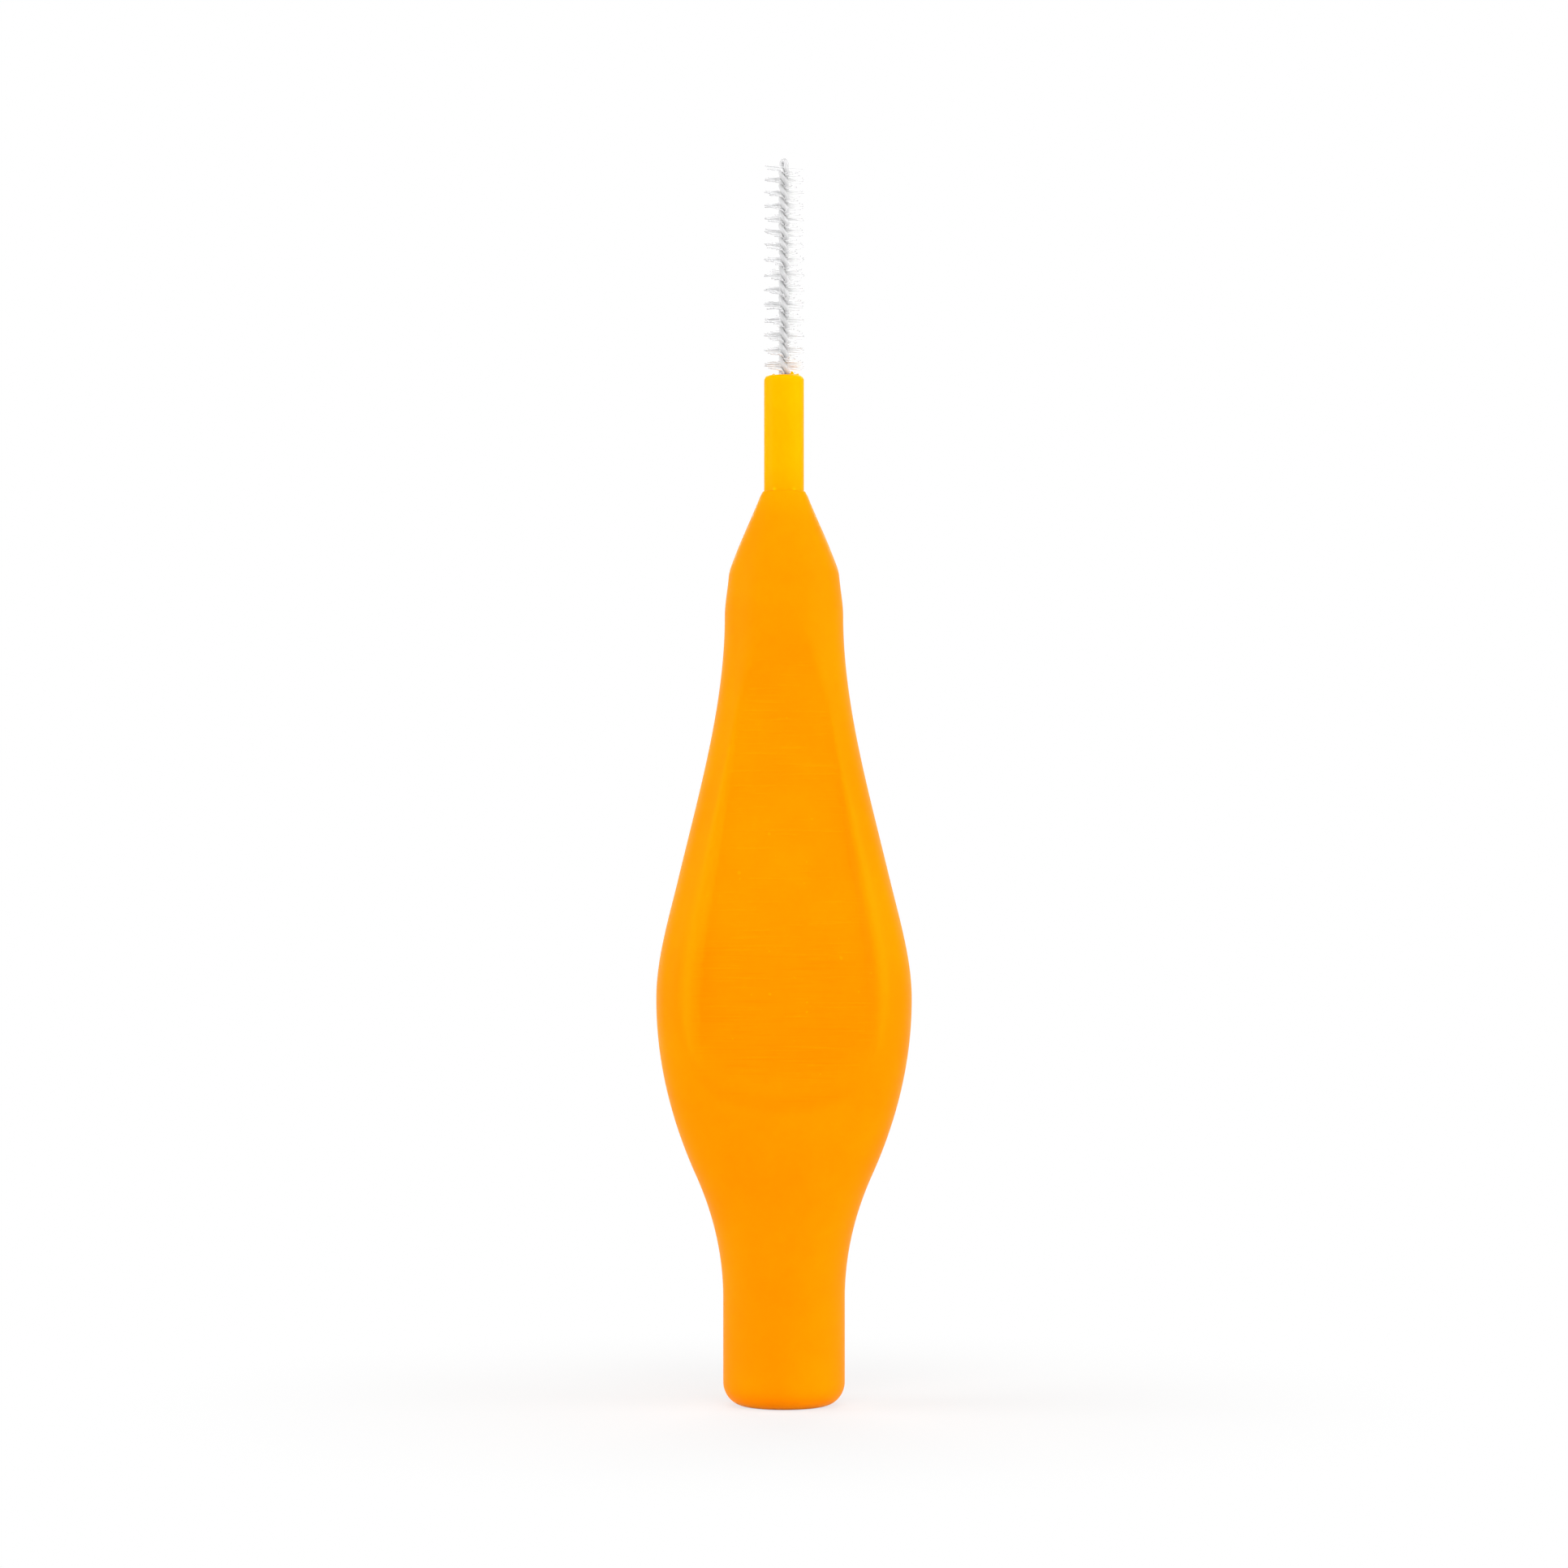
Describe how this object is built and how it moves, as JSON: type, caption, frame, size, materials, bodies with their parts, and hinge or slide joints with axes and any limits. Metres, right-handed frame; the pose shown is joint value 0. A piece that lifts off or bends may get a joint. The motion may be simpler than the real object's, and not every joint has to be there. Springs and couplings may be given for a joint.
{
  "type": "interdental brush",
  "caption": "Interdental brush: flat pear-shaped plastic grip with thumb scoops, slim neck sleeve, twisted steel core wire and short nylon bristle tufts.",
  "frame": {"origin": "centre of the butt's flat end face, on the tool axis", "axes": "+Z along the tool axis from the butt to the wire's tip; broad faces of the grip look along -Y (front) and +Y (back); +X to the right seen from the front"},
  "size_m": [0.0144, 0.0078, 0.07],
  "materials": {
    "grip_plastic": "orange moulded plastic with a satin sheen",
    "neck_plastic": "lighter orange moulded plastic, slightly translucent",
    "wire_steel": "drawn stainless wire",
    "bristle_nylon": "clear white nylon filament"
  },
  "bodies": {
    "handle": {"grip": "grip_plastic", "neck_sleeve": "neck_plastic", "tuft_15": "bristle_nylon"},
    "brush_head": {"core_wire": "wire_steel", "tuft_01": "bristle_nylon", "tuft_02": "bristle_nylon", "tuft_03": "bristle_nylon", "tuft_04": "bristle_nylon", "tuft_05": "bristle_nylon", "tuft_06": "bristle_nylon", "tuft_07": "bristle_nylon", "tuft_08": "bristle_nylon", "tuft_09": "bristle_nylon", "tuft_10": "bristle_nylon", "tuft_11": "bristle_nylon", "tuft_12": "bristle_nylon", "tuft_13": "bristle_nylon", "tuft_14": "bristle_nylon"}
  },
  "joints": [
    {"name": "head_bend", "type": "hinge", "parent": "handle", "child": "brush_head", "pos_m": [0, 0, 0.0588], "axis": [1, 0, 0], "range_deg": [-45, 45], "deforming": ["core_wire"]}
  ]
}
